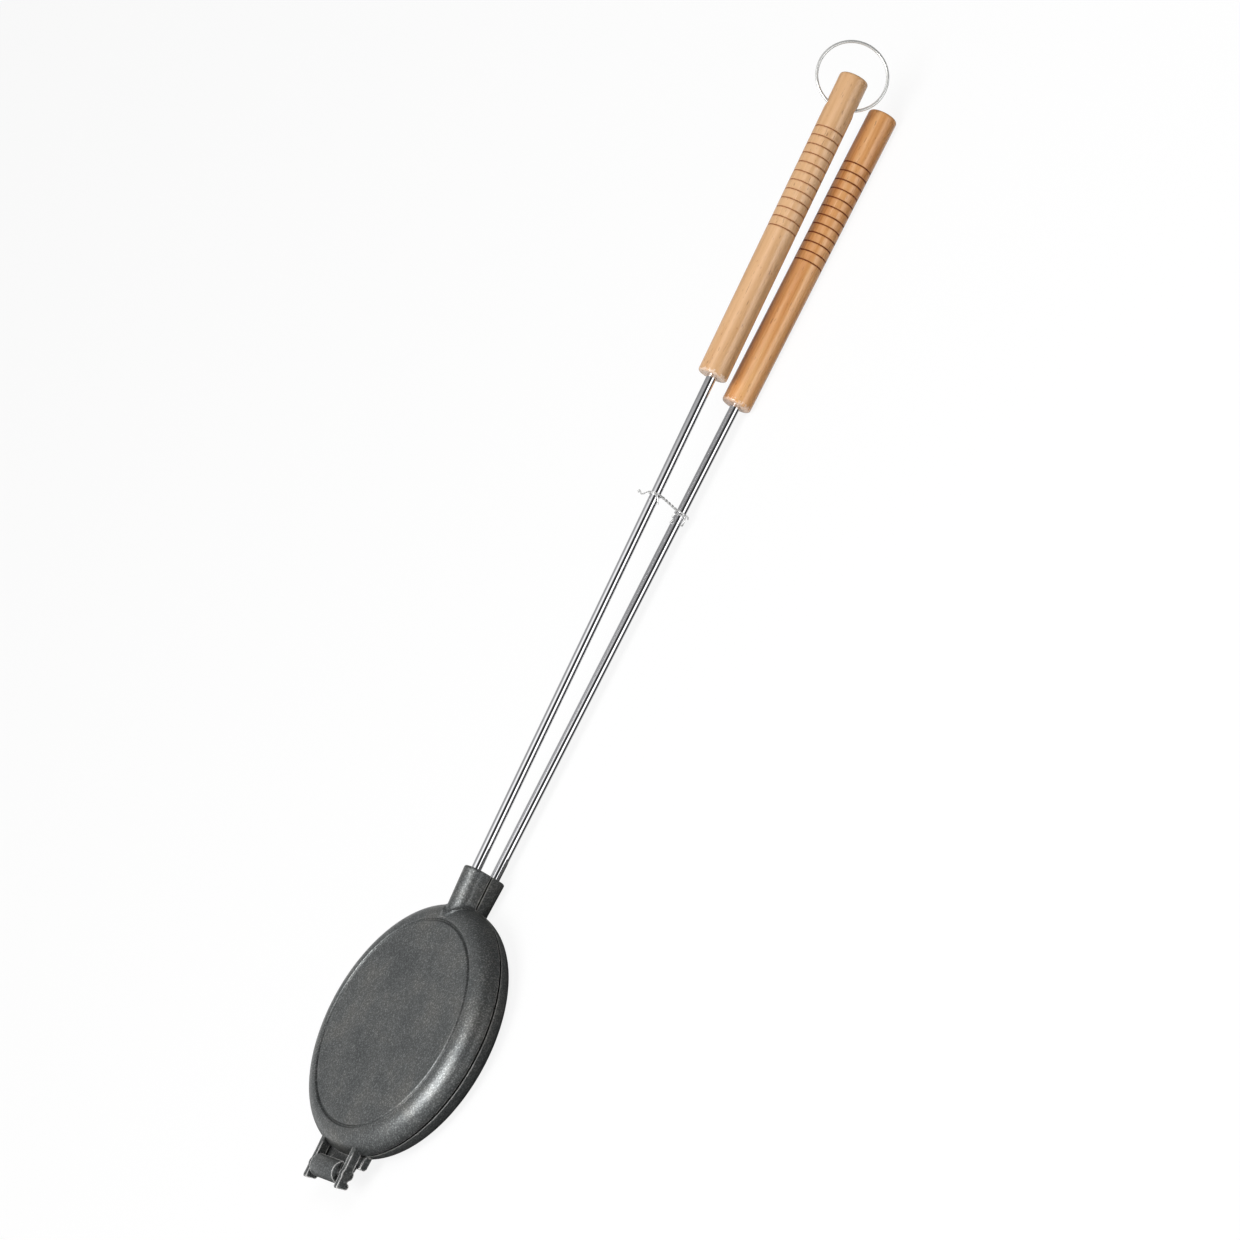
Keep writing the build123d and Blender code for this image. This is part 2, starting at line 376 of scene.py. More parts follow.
def cast_iron(name):
    made, tree, shader = material(name)
    point = object_point(tree)
    skin = ramp(tree, noise(tree, point, 34.0, 6.0, 0.65), skin_tones)
    # Bright grains, where the mould's sand left a high spot
    grain = ramp(tree, noise(tree, point, 1060.0, 2.0, 0.6), grain_tones)
    grainy = blend(tree, 1.0, skin, grain, "MULTIPLY")
    # Rubbed edges with a painted highlight on them, strongest at the hinge and along the seam; a noise
    # breaks them up away from the hinge
    convex_edges = ramp(tree, occlusion(tree, 1.2, inside=True, only_local=True), [(0.58, 1), (0.82, 0)])
    patch = ramp(tree, noise(tree, point, 300.0, 3.0), [(0.44, 0.05), (0.62, 1)])
    spot = split(tree, point)
    hinge = remap(tree, spot["X"], hinge_start_x * mm, hinge_full_x * mm)
    near_seam = calc(tree, "COMPARE", spot["Z"], mid_z * mm, seam_half * mm)
    wear_and_highlight_zones = calc(tree, "MAXIMUM", hinge, remap(tree, near_seam, 0, 1, 0.0, 0.7))
    rub_and_highlight = calc(tree, "MULTIPLY", convex_edges, calc(tree, "MAXIMUM", patch, wear_and_highlight_zones))
    rubbed_and_highlit = blend(tree, rub_and_highlight, grainy, ramp(tree, hinge, bare_and_highlight_tones))
    # Painted shade: a light one in deep pockets, and a dark one in the parting line and in tight corners
    pocket_shade = ramp(tree, occlusion(tree, 11.0), [(0.22, 0.30), (0.58, 1)])
    crevice_shade = ramp(tree, occlusion(tree, 1.8), [(0.20, 0.02), (0.55, 1)])
    pocket_shaded = blend(tree, 1.0, rubbed_and_highlit, pocket_shade, "MULTIPLY")
    tree.links.new(blend(tree, 1.0, pocket_shaded, crevice_shade, "MULTIPLY"), shader.inputs["Base Color"])
    tree.links.new(remap(tree, noise(tree, point, 90.0), 0, 1, 0.36, 0.46), shader.inputs["Roughness"])
    waves = bump(tree, noise(tree, point, 150.0, 3.0), 0.16)
    pebbles = bump(tree, noise(tree, point, 1000.0, 3.0, 0.6), 0.10, waves)
    tree.links.new(pebbles, shader.inputs["Normal"])
    # A rubbed edge, which also carries a painted highlight, scatters light instead of mirroring the dark
    # side of the room
    tree.links.new(remap(tree, rub_and_highlight, 0, 1, 0.85, 0.0), shader.inputs["Metallic"])
    return made


iron = {side: cast_iron(f"cast_iron_{side}") for side in side_sign}
print("iron", sorted(m.name for m in iron.values()))

# %% [markdown]
# ### Bright steel
# The rods are drawn and plated. Drawing leaves very fine lines along the rod, so the
# noise is stretched forty times along X. The lines change the roughness a little and
# the normal hardly at all, and the long streaks come from what the rod reflects. The
# ring and the tie are duller zinc-coated wire, so they are only partly metallic: the
# diffuse share keeps such a thin wire pale wherever it points.

# %% Bright steel
def bright_steel(name, colour, rough, stretch, metal):
    made, tree, shader = material(name)
    lines = noise(tree, object_point(tree, scale=stretch), 1400.0, 4.0, 0.6)
    tree.links.new(remap(tree, lines, 0, 1, rough * 0.8, rough * 1.2), shader.inputs["Roughness"])
    low = tuple(c * 0.90 for c in colour)
    tree.links.new(ramp(tree, lines, [(0.35, low), (0.62, colour)]), shader.inputs["Base Color"])
    tree.links.new(bump(tree, lines, 0.002), shader.inputs["Normal"])
    shader.inputs["Metallic"].default_value = metal
    return made


rod_steel = bright_steel("rod_steel", (0.88, 0.88, 0.90), 0.07, (0.025, 1, 1), 1.0)
ring_steel = bright_steel("ring_steel", (0.95, 0.95, 0.93), 0.22, (1, 1, 1), 0.62)
tie_steel = bright_steel("tie_wire", (0.82, 0.82, 0.81), 0.30, (1, 1, 1), 0.55)
print("steel", [m.name for m in (rod_steel, ring_steel, tie_steel)])

# %% [markdown]
# ### Turned wood
# The grips are dowels turned from a plain hardwood, one pale and one darker. The grain
# runs along the dowel, so the point is squeezed along X before it meets the noise. A
# slow noise bands the wood, a quicker one streaks it, a fast one draws the fibres, and
# short dark flecks are the pores. Each grip gets its own offset, so the two aren't
# twins. The inner end was only sawn, so its rim is bare pale end grain with chips: a
# mask over X that a noise breaks up. A thin satin lacquer gives the long soft sheen.

# %% Turned wood
def turned_wood(name, tones, end_tone, offset, slope, end_x):
    made, tree, shader = material(name)
    point = object_point(tree, scale=(0.045, 1, 1), place=offset, turned=(0, slope, 0))
    slow = noise(tree, point, 85.0, 2.0)
    streak = noise(tree, point, 280.0, 3.0)
    fibre = noise(tree, point, 900.0, 6.0, 0.7)
    figure = calc(tree, "MULTIPLY", fibre, 0.22)
    for part, share in ((streak, 0.34), (slow, 0.44)):
        figure = calc(tree, "MULTIPLY_ADD", part, share, figure)
    wood_colour = ramp(tree, figure, list(zip((0.36, 0.46, 0.54, 0.64), tones)))
    # Pores, and a few small dents
    pore_point = object_point(tree, scale=(0.13, 1, 1), place=offset, turned=(0, slope, 0))
    pores = ramp(tree, noise(tree, pore_point, 1300.0, 2.0), [(0.27, (0.62, 0.58, 0.55)), (0.35, 1)])
    dents = noise(tree, object_point(tree, scale=(0.4, 1, 1), place=offset), 380.0, 2.0)
    dent_mask = ramp(tree, dents, [(0.24, (0.80, 0.70, 0.62)), (0.30, 1)])
    marks = blend(tree, 1.0, pores, dent_mask, "MULTIPLY")
    marked = blend(tree, 1.0, wood_colour, marks, "MULTIPLY")
    # Bare, chipped rim at the inner end
    place = object_point(tree)
    chips = remap(tree, noise(tree, place, 520.0, 3.0), 0, 1, -6 * mm, 6 * mm)
    ragged = calc(tree, "ADD", split(tree, place)["X"], chips)
    bare = remap(tree, ragged, (end_x + 0.9) * mm, (end_x + 1.6) * mm, 0.7, 0.0)
    coloured = blend(tree, bare, marked, (*end_tone, 1))
    tree.links.new(coloured, shader.inputs["Base Color"])
    tree.links.new(remap(tree, streak, 0, 1, 0.18, 0.32), shader.inputs["Roughness"])
    shader.inputs["Specular IOR Level"].default_value = 0.9
    tree.links.new(bump(tree, fibre, 0.03, bump(tree, dents, 0.12)), shader.inputs["Normal"])
    return made


pale_tones = [(0.59, 0.315, 0.135), (0.69, 0.405, 0.20), (0.745, 0.445, 0.232), (0.79, 0.51, 0.30)]
dark_tones = [(0.42, 0.145, 0.042), (0.64, 0.285, 0.095), (0.73, 0.36, 0.135), (0.79, 0.44, 0.19)]
recipes = {
    "upper": ("pale_wood", pale_tones, (0.90, 0.70, 0.55), (0.0, 0.013, 0.021)),
    "lower": ("dark_wood", dark_tones, (0.90, 0.66, 0.50), (0.3, 0.047, 0.009)),
}
wood = {
    side: turned_wood(*recipe, side_sign[side] * splay, grip_near[side] - end_extra)
    for side, recipe in recipes.items()
}
print("wood", sorted(m.name for m in wood.values()))

# %% Scorched wood in the turned lines
def scorched_wood(name, dark, light):
    made, tree, shader = material(name)
    char = noise(tree, object_point(tree), 700.0)
    tree.links.new(ramp(tree, char, [(0.35, dark), (0.65, light)]), shader.inputs["Base Color"])
    shader.inputs["Roughness"].default_value = 0.75
    shader.inputs["Specular IOR Level"].default_value = 0.15
    return made


scorched = {
    "upper": scorched_wood("scorched_pale_wood", (0.27, 0.110, 0.045), (0.40, 0.185, 0.085)),
    "lower": scorched_wood("scorched_dark_wood", (0.15, 0.038, 0.014), (0.27, 0.082, 0.030)),
}
print("scorched wood", sorted(m.name for m in scorched.values()))

# %% [markdown]
# ## The cast halves
# Each half is a shallow pan with a full round shoulder, a flat panel inside a narrow
# groove, and a neck that swells towards its end. The head is turned like a pot. The
# neck is lofted, and its root flares where it meets the shoulder, as a moulder's
# fillet does. Both have a shallow step round the parting face, so the two halves leave
# a thin black line between them. Booleans join the two, then cut the baking cavity and
# the rod's socket.

# %% Head section
def head_section():
    """Outer half section of the head, from the middle of the panel to the parting face."""
    section = [(half_t, r) for r in (0.0, 20.0, 45.0, 60.0, 65.0)]
    middle = panel_r + groove_w / 2
    reach = groove_w / 2 + 0.25
    for i in range(-12, 13):
        t = i / 12
        section.append((half_t - groove_d / 2 * (1 + cos(pi * t)), middle + reach * t))
    section += arc(edge_r, crest_r, shoulder_r, 0, 90, 24)[1:]
    corner = edge_r - lip
    section += arc(edge_r, rim_r - corner, corner, 90, 180, 5)[1:]
    section += [(lip, rim_r - lip_depth), (0.0, rim_r - lip_depth - 0.4)]
    section += [(0.0, cavity_floor_r - 10), (0.0, 0.0)]
    return section


def cavity_section():
    """Half section of the cutter for the baking cavity, with soft corners."""
    mouth = cavity_r + 0.35
    section = [(-1.0, 0.0), (-1.0, mouth), (-0.35, mouth), (0.0, cavity_r + 0.3)]
    section += [(0.12, cavity_r + 0.1), (0.4, cavity_r)]
    fillet = 2.2
    wall_end = cavity_floor_r + 0.3
    section += arc(cavity_d - fillet, wall_end - fillet, fillet, 90, 0, 6)
    section += [(cavity_d, cavity_floor_r - 12), (cavity_d, 0.0)]
    return section


print("sections", len(head_section()), "and", len(cavity_section()), "points")

# %% Neck
neck_base_h = 12.5
neck_swell = 1.7
root_flare = 2.6
end_cuts = {neck_end_x - 0.25: 0.35, neck_end_x: 0.8}


def head_radius(height):
    """Radius of the head's shoulder at a height above the parting face."""
    return crest_r + sqrt(max(shoulder_r**2 - (height - edge_r) ** 2, 0.0))


def root_growth(x, y, z, up):
    """How far the flare at the neck's root stands out, for a face that points up by a share."""
    past_head = max(x - sqrt(max(head_radius(max(z, edge_r)) ** 2 - y**2, 0.0)), 0.0)
    root = root_flare * (1 - 0.45 * up)
    if past_head >= root:
        return 0.0
    return root - sqrt(max(root**2 - (root - past_head) ** 2, 0.0))


def neck_rings(sign):
    """Rings of the neck, from inside the head to its end. The root is flared."""
    spans = 28
    slices = 34
    side_r = neck_w / 2
    run = neck_end_x - neck_start_x
    places = [neck_start_x + (run - 0.9) * i / slices for i in range(slices + 1)]
    rings = []
    for x in places + list(end_cuts):
        height = neck_base_h + neck_swell * (x - neck_start_x) / run
        ring = []
        for i in range(spans + 1):
            a = pi * i / spans
            y = side_r * cos(a)
            z = lip if i in (0, spans) else height - side_r + side_r * sin(a)
            grow = root_growth(x, y, z, sin(a)) - end_cuts.get(x, 0.0)
            ring.append((x, y + cos(a) * grow, mid_z + sign * (half_gap + z + sin(a) * grow)))
        inner = side_r - 2.4
        for y, z in ((-inner, lip), (0.4 - inner, 0.0), (inner - 0.4, 0.0), (inner, lip)):
            ring.append((x, y, mid_z + sign * (half_gap + z)))
        rings.append(ring)
    return rings


print("neck", len(neck_rings(1)), "rings")

# %% Join the castings
def casting(side):
    sign = side_sign[side]
    face = mid_z + sign * half_gap
    head = lathe(f"{side}_casting", head_section(), (0, 0, face), (0, 0, sign), 240)
    neck = new_piece(f"{side}_neck", *ring_mesh(neck_rings(sign)))
    combine(head, neck, "UNION")
    cavity = lathe("cavity", cavity_section(), (0, 0, face), (0, 0, sign), 180)
    combine(head, cavity, "DIFFERENCE")
    mouth_r = bore_r + 0.45
    wall = [(-20.0, 0.0), (-20.0, bore_r), (-0.6, bore_r), (0.0, mouth_r), (2.0, mouth_r), (2.0, 0.0)]
    socket = lathe("socket", wall, *rod_axis(side), 48)
    return combine(head, socket, "DIFFERENCE")


castings = {side: casting(side) for side in side_sign}
for piece in castings.values():
    report(piece)

# %% [markdown]
# ## The hinge
# The upper half carries two thin lugs with a short bar between them, and each lug has
# a round eye where the bar meets it. The lower half carries a tongue that ends in an
# open hook, and the hook turns on the bar. A low tab at either side of the tongue
# stands just outside the lugs, so the halves can't slide sideways. All of it is cast,
# so these are plain outlines with a thickness and softened edges. They are joined to
# the castings with booleans, because on the iron they are one piece.

# %% Hook and tongue of the lower half
barrel_r = 7.1
barrel_half = 13.4
hook_bore_r = 3.0
mouth_half = 2.3
tongue_top = mid_z - 0.3
tongue_half = lug_y + lug_half + 2.0


def hook_outline():
    """The open hook seen from the side. Its mouth faces the head."""
    outer = degrees(asin(mouth_half / barrel_r))
    inner = degrees(asin(mouth_half / hook_bore_r))
    round_outside = arc(pin_x, pin_z, barrel_r, outer, 360 - outer, 48)
    round_inside = arc(pin_x, pin_z, hook_bore_r, 360 - inner, inner, 24)
    return round_outside + round_inside


web_outline = [
    (-80.0, tongue_top),
    (-83.3, tongue_top),
    (-88.6, mid_z + 2.7),
    (-91.4, mid_z + 1.6),
    (-94.3, mid_z + 0.4),
    (-97.1, mid_z - 1.0),
    (-88.0, mid_z - 2.6),
    (-80.0, mid_z - 3.4),
]
web = slab("web", web_outline, -barrel_half, barrel_half)
hook = combine(slab("hook", hook_outline(), -barrel_half, barrel_half), web, "UNION")
tongue_outline = [
    (-77.0, tongue_top),
    (-88.0, tongue_top),
    (-88.0, tongue_top - 2.3),
    (-77.0, tongue_top - 3.6),
]
tongue = combine(slab("tongue", tongue_outline, -tongue_half, tongue_half), hook, "UNION")
report(tongue)

# %% Tabs of the lower half
tab_outline = [
    (-78.0, mid_z + 0.2),
    (-79.9, mid_z + 0.3),
    (-80.9, mid_z + 0.9),
    (-88.1, mid_z + 1.2),
    (-88.1, mid_z - 2.2),
    (-86.4, mid_z - 3.5),
    (-78.0, mid_z - 3.7),
]
tab_in = lug_y + lug_half + 0.5
tab_out = tongue_half + 0.02
for y0, y1 in ((-tab_out, -tab_in), (tab_in, tab_out)):
    combine(tongue, slab("tab", tab_outline, y0, y1), "UNION")
soften(tongue, 0.45, 2, 30)
combine(castings["lower"], tongue, "UNION")
report(castings["lower"])

# %% Lugs and bar of the upper half
eye_r = 4.1
bar_r = 2.9
bar_flat = 2.1


def lug_outline():
    """A lug seen from the side, with a rounded foot at the end of its lower edge."""
    points = [(-77.0, mid_z + 3.2), (-77.0, mid_z + 8.9)]
    points += arc(-103.1, mid_z + 7.8, 1.1, 90, 170, 5)
    points += arc(-101.0, mid_z + 3.2, 2.1, 172, 360, 16)
    return points


for y in (-lug_y, lug_y):
    lug = slab("lug", lug_outline(), y - lug_half, y + lug_half)
    eye = slab("eye", arc(pin_x, pin_z, eye_r, 0, 345, 23), y - lug_half, y + lug_half)
    combine(lug, eye, "UNION")
    soften(lug, 0.55, 2, 40)
    combine(castings["upper"], lug, "UNION")
bar_edge = degrees(acos(bar_flat / bar_r))
bar_outline = arc(pin_x, pin_z, bar_r, bar_edge, 180 - bar_edge, 12)
bar_outline += arc(pin_x, pin_z, bar_r, 180 + bar_edge, 360 - bar_edge, 12)
combine(castings["upper"], slab("bar", bar_outline, -lug_y, lug_y), "UNION")
for side, piece in castings.items():
    smooth(piece, 32)
    dress(piece, iron[side])
    report(piece)

# %% [markdown]
# ## The waffle studs
# Sixty tapered studs stand in each cavity, in four fields split by a wider cross, and
# they press the grid into the waffle. They repeat, so Geometry Nodes place them: a
# grid of points for one field is copied four times, the points too near the wall are
# dropped, and a four-sided cone becomes a stud on each of the rest. The tree ends in
# Realize Instances and Set Material, so what comes out is a plain mesh.

# %% Geometry Nodes helpers
def start_tree(name, sockets):
    """Geometry Nodes tree with named inputs. Returns it, their values and their identifiers."""
    tree = bpy.data.node_groups.new(name, "GeometryNodeTree")
    face = tree.interface
    face.new_socket("Geometry", in_out="OUTPUT", socket_type="NodeSocketGeometry")
    inputs = {}
    for label, kind, value in sockets:
        socket = face.new_socket(label, in_out="INPUT", socket_type="NodeSocket" + kind)
        if value is not None:
            socket.default_value = value
        inputs[label] = socket.identifier
    return tree, add(tree, "NodeGroupInput").outputs, inputs


def turn_geometry(tree, geometry, rotation):
    """Geometry turned about the origin."""
    values = {"Geometry": geometry, "Rotation": rotation}
    return add(tree, "GeometryNodeTransform", values).outputs["Geometry"]


def end_tree(tree, points, item, finish):
    """Put an item on each point, make the copies real and give them their finish."""
    placed = add(tree, "GeometryNodeInstanceOnPoints", {"Points": points, "Instance": item})
    real = add(tree, "GeometryNodeRealizeInstances", {"Geometry": placed.outputs["Instances"]})
    values = {"Geometry": real.outputs["Geometry"], "Material": finish}
    dressed = add(tree, "GeometryNodeSetMaterial", values)
    add(tree, "NodeGroupOutput", {"Geometry": dressed.outputs["Geometry"]})


def grow(name, tree, values):
    """Run a Geometry Nodes tree on an empty mesh and keep the plain mesh that it makes."""
    carrier = link(name, bpy.data.meshes.new(name))
    modifier = carrier.modifiers.new("nodes", "NODES")
    modifier.node_group = tree
    for identifier, value in values.items():
        modifier[identifier] = value
    return bake(carrier)


# %% Stud field tree
stud_sockets = (
    ("Pitch", "Float", 14.5 * mm),
    ("Cross Channel", "Float", 5.0 * mm),
    ("Stud Width", "Float", 10.2 * mm),
    ("Stud Top Width", "Float", 8.08 * mm),
    ("Stud Height", "Float", 5.2 * mm),
    ("Field Radius", "Float", (cavity_floor_r - 3.0) * mm),
    ("Studs Per Side", "Int", 4),
    ("Finish", "Material", None),
)


def stud_tree():
    tree, source, inputs = start_tree("stud_field", stud_sockets)
    per_side = source["Studs Per Side"]
    span = calc(tree, "MULTIPLY", calc(tree, "SUBTRACT", per_side, 1.0), source["Pitch"])
    sizes = {"Size X": span, "Size Y": span, "Vertices X": per_side, "Vertices Y": per_side}
    grid = add(tree, "GeometryNodeMeshGrid", sizes).outputs["Mesh"]
    inner_gap = calc(tree, "ADD", source["Cross Channel"], source["Stud Width"])
    shift = calc(tree, "MULTIPLY", calc(tree, "ADD", inner_gap, span), 0.5)
    corner = add(tree, "ShaderNodeCombineXYZ", {"X": shift, "Y": shift}).outputs["Vector"]
    moved = add(tree, "GeometryNodeTransform", {"Geometry": grid, "Translation": corner})
    fields = add(tree, "GeometryNodeJoinGeometry")
    for quarter in range(4):
        turned = turn_geometry(tree, moved.outputs["Geometry"], (0, 0, quarter * pi / 2))
        tree.links.new(turned, fields.inputs["Geometry"])
    place = split(tree, add(tree, "GeometryNodeInputPosition").outputs["Position"])
    half_width = calc(tree, "MULTIPLY", source["Stud Width"], 0.5)
    squares = []
    for axis in ("X", "Y"):
        far = calc(tree, "ADD", calc(tree, "ABSOLUTE", place[axis]), half_width)
        squares.append(calc(tree, "MULTIPLY", far, far))
    reach = calc(tree, "SQRT", calc(tree, "ADD", *squares))
    outside = calc(tree, "GREATER_THAN", reach, source["Field Radius"])
    values = {"Geometry": fields.outputs["Geometry"], "Selection": outside}
    kept = add(tree, "GeometryNodeDeleteGeometry", values, domain="POINT").outputs["Geometry"]
    sizes = {
        "Vertices": 4,
        "Radius Top": calc(tree, "MULTIPLY", source["Stud Top Width"], sqrt(0.5)),
        "Radius Bottom": calc(tree, "MULTIPLY", source["Stud Width"], sqrt(0.5)),
        "Depth": source["Stud Height"],
    }
    stud = add(tree, "GeometryNodeMeshCone", sizes).outputs["Mesh"]
    end_tree(tree, kept, turn_geometry(tree, stud, (0, 0, pi / 4)), source["Finish"])
    return tree, inputs


stud_field, stud_inputs = stud_tree()
print("stud tree", len(stud_field.nodes), "nodes")

# %% Stud fields
stud_sink = 0.2
studs = {}
for side, sign in side_sign.items():
    field = grow(f"{side}_studs", stud_field, {stud_inputs["Finish"]: iron[side]})
    floor_z = mid_z + sign * (half_gap + cavity_d + stud_sink)
    flip = Matrix.Diagonal((1, 1, -sign, 1))
    field.data.transform(Matrix.Translation((0, 0, floor_z * mm)) @ flip)
    clean(field)
    soften(field, 0.7, 3, 30)
    studs[side] = smooth(field, 40)
    report(field)

# %% [markdown]
# ## The rods
# Each rod is a plain bright bar with chamfered ends, pushed into the neck and deep
# into the grip. It leaves the neck at a slight angle, so that the two grips lie apart
# and a hand fits round both.

# %% Rods
neck_seat = 19.7
grip_seat = 59.0
rod_chamfer = 0.4
rods = {}
for side in side_sign:
    reach = grip_run(side) + grip_seat
    tip_r = rod_r - rod_chamfer
    section = [(-neck_seat, 0.0), (-neck_seat, tip_r), (rod_chamfer - neck_seat, rod_r)]
    section += [(reach - rod_chamfer, rod_r), (reach, tip_r), (reach, 0.0)]
    rods[side] = smooth(lathe(f"{side}_bright_rod", section, *rod_axis(side), 64), 30)
    dress(rods[side], rod_steel)
    report(rods[side])

# %% [markdown]
# ## The grips
# A grip is a dowel with eased ends, bored for its rod. Near its outer end twelve thin
# lines are turned into it and scorched with a wire. The dowel with its grooves is one
# turned section, so it comes off the lathe tool, and the scorched lines are twelve
# equal rings along the axis, which is work for Geometry Nodes again.

# %% Grip dowels
line_pitch = 6.35
line_count = 12
line_half = 0.8
line_depth = 0.5
first_line = {"lower": 38.9, "upper": 37.7}
inner_round = 1.5
outer_round = 2.2
hole_r = 3.4
hole_from_end = 20.3


def line_places(side):
    """Distances of the turned lines from the start of the CAD model's grip, outermost first."""
    return [grip_len - first_line[side] - i * line_pitch for i in range(line_count)]


def grip_section(side):
    """Half section of a grip along its axis, with the turned grooves."""
    near = -end_extra
    section = [(60.0, 0.0), (60.0, bore_r), (near + 0.3, bore_r), (near, bore_r + 0.3)]
    section.append((near, grip_r - inner_round))
    section += arc(near + inner_round, grip_r - inner_round, inner_round, 165, 90, 5)
    for place in reversed(line_places(side)):
        for step in (-0.8, -0.5, -0.25, 0.0, 0.25, 0.5, 0.8):
            depth = line_depth * max(0.0, 1 - (step / line_half) ** 2)
            section.append((place + step, grip_r - depth))
    far = grip_len + far_extra[side]
    section += arc(far - 0.8 - outer_round, grip_r - outer_round, outer_round, 90, 0, 6)
    section += [(far - 0.3, grip_r * 0.5), (far, 0.0)]
    return section


def grip_point(side, distance):
    """Point on a grip's axis, at a distance from the start of the CAD model's grip."""
    start, direction = rod_axis(side)
    return start + direction * (grip_run(side) + distance)


ring_turn = radians(31.0)
hole_centre = grip_point("upper", grip_len - hole_from_end)
hole_axis = Vector((-sin(splay) * cos(ring_turn), sin(ring_turn), cos(splay) * cos(ring_turn)))
grips = {}
for side in side_sign:
    direction = rod_axis(side)[1]
    grip = lathe(f"{side}_turned_grip", grip_section(side), grip_point(side, 0), direction, 96)
    if side == "upper":
        drill = [(-12, 0), (-12, hole_r), (12, hole_r), (12, 0)]
        combine(grip, lathe("drill", drill, hole_centre, hole_axis, 40), "DIFFERENCE")
    dress(smooth(grip, 35), wood[side])
    grips[side] = grip
    report(grip)

# %% Scorched lines
line_sockets = (
    ("Start", "Vector", (0.0, 0.0, 0.0)),
    ("Step", "Vector", (line_pitch * mm, 0.0, 0.0)),
    ("Lines", "Int", line_count),
    ("Radius", "Float", 9.2 * mm),
    ("Thickness", "Float", 0.3 * mm),
    ("Lean", "Float", 0.0),
    ("Finish", "Material", None),
)
line_sink = {"lower": 0.53, "upper": 0.42}
line_wire_r = {"lower": 0.48, "upper": 0.34}


def line_tree():
    tree, source, inputs = start_tree("scorched_lines", line_sockets)
    row = {"Count": source["Lines"], "Start Location": source["Start"], "Offset": source["Step"]}
    places = add(tree, "GeometryNodeMeshLine", row).outputs["Mesh"]
    circles = []
    for count, radius in ((96, source["Radius"]), (8, source["Thickness"])):
        values = {"Resolution": count, "Radius": radius}
        circles.append(add(tree, "GeometryNodeCurvePrimitiveCircle", values).outputs["Curve"])
    values = {"Curve": circles[0], "Profile Curve": circles[1]}
    hoop = add(tree, "GeometryNodeCurveToMesh", values).outputs["Mesh"]
    tilt = add(tree, "ShaderNodeCombineXYZ", {"Y": source["Lean"]}).outputs["Vector"]
    end_tree(tree, places, turn_geometry(tree, hoop, tilt), source["Finish"])
    return tree, inputs


line_nodes, line_inputs = line_tree()
lines = {}
for side, sign in side_sign.items():
    first = grip_point(side, line_places(side)[-1])
    values = {
        line_inputs["Start"]: tuple(c * mm for c in first),
        line_inputs["Step"]: tuple(c * line_pitch * mm for c in rod_axis(side)[1]),
        line_inputs["Radius"]: (grip_r - line_sink[side]) * mm,
        line_inputs["Thickness"]: line_wire_r[side] * mm,
        line_inputs["Lean"]: pi / 2 - sign * splay,
        line_inputs["Finish"]: scorched[side],
    }
    lines[side] = smooth(clean(grow(f"{side}_scorched_lines", line_nodes, values)), 60)
    report(lines[side])

# %% [markdown]
# ## The hanging ring
# The ring is one round of zinc-coated wire through a cross hole in the upper grip. It
# hangs a little off square, and the wire rests on the wall of its hole. A circle of
# small circles is the whole shape, so a double loop writes its points.

# %% Hanging ring
ring_r = 22.2
ring_wire_r = 1.0
lean = radians(5.0)
around_ring = 128
around_wire = 16
upper_direction = rod_axis("upper")[1]
sag = ring_r - sqrt(ring_r**2 - grip_r**2)
ring_out = upper_direction * cos(lean) + hole_axis * sin(lean)
ring_side = hole_axis * cos(lean) - upper_direction * sin(lean)
ring_centre = hole_centre + ring_out * (ring_r - sag / 2 + 0.3)
ring_normal = ring_out.cross(ring_side).normalized()
ring_points, ring_faces = [], []
for i in range(around_ring):
    a = 2 * pi * i / around_ring
    spoke = ring_out * cos(a) + ring_side * sin(a)
    here, after = i * around_wire, (i + 1) % around_ring * around_wire
    for j in range(around_wire):
        b = 2 * pi * j / around_wire
        across = spoke * (ring_r + ring_wire_r * cos(b)) + ring_normal * (ring_wire_r * sin(b))
        ring_points.append(ring_centre + across)
        k = (j + 1) % around_wire
        ring_faces.append((here + j, here + k, after + k, after + j))
hang_ring = smooth(new_piece("hanging_ring", ring_points, ring_faces), 60)
dress(hang_ring, ring_steel)
report(hang_ring)

# %% [markdown]
# ## The wire tie
# The tie is three strands of soft wire. Two of them go round the upper rod, cross to
# the lower one as a tight twisted pair and go round that, and their loose ends are left
# curled. The strands are curves with a round section, turned into one mesh, because a
# curve through chosen points bends the way soft wire does.

# %% Wire tool
def wire(name, runs, radius, finish):
    """Round wire along smooth NURBS runs through control points in millimetres."""
    curve = bpy.data.curves.new(name, "CURVE")
    curve.dimensions = "3D"
    curve.bevel_depth = radius * mm
    curve.bevel_resolution = 4
    curve.resolution_u = 10
    curve.use_fill_caps = True
    for points in runs:
        spline = curve.splines.new("NURBS")
        spline.points.add(len(points) - 1)
        for target, p in zip(spline.points, points):
            target.co = (*(c * mm for c in p), 1.0)
        spline.order_u = 3
        spline.use_endpoint_u = True
    carrier = link(name + "_curve", curve)
    bpy.context.view_layer.update()
    mesh = bpy.data.meshes.new_from_object(carrier)
    bpy.data.objects.remove(carrier)
    piece = smooth(clean(link(name, mesh)), 50)
    dress(piece, finish)
    report(piece)
    return piece


tie_x = 360.0
rods_apart = 2 * (rod_z + (tie_x - neck_end_x) * tan(splay))
print("rods at the tie", round(rods_apart, 1), "mm apart")

# %% Wire tie
tie_r = 0.45
wrap_r = 3.9


def round_rod(side, x0, x1, turns):
    """Points that follow the face of a rod, through turns in degrees up from its front."""
    out = []
    for i, angle in enumerate(turns):
        x = x0 + (x1 - x0) * i / (len(turns) - 1)
        z = mid_z + side_sign[side] * (rod_z + (x - neck_end_x) * tan(splay))
        out.append((x, -wrap_r * cos(radians(angle)), z + wrap_r * sin(radians(angle))))
    return out


def loose(*points):
    """Free points, given from the middle plane between the halves."""
    return [(x, y, z + mid_z) for x, y, z in points]


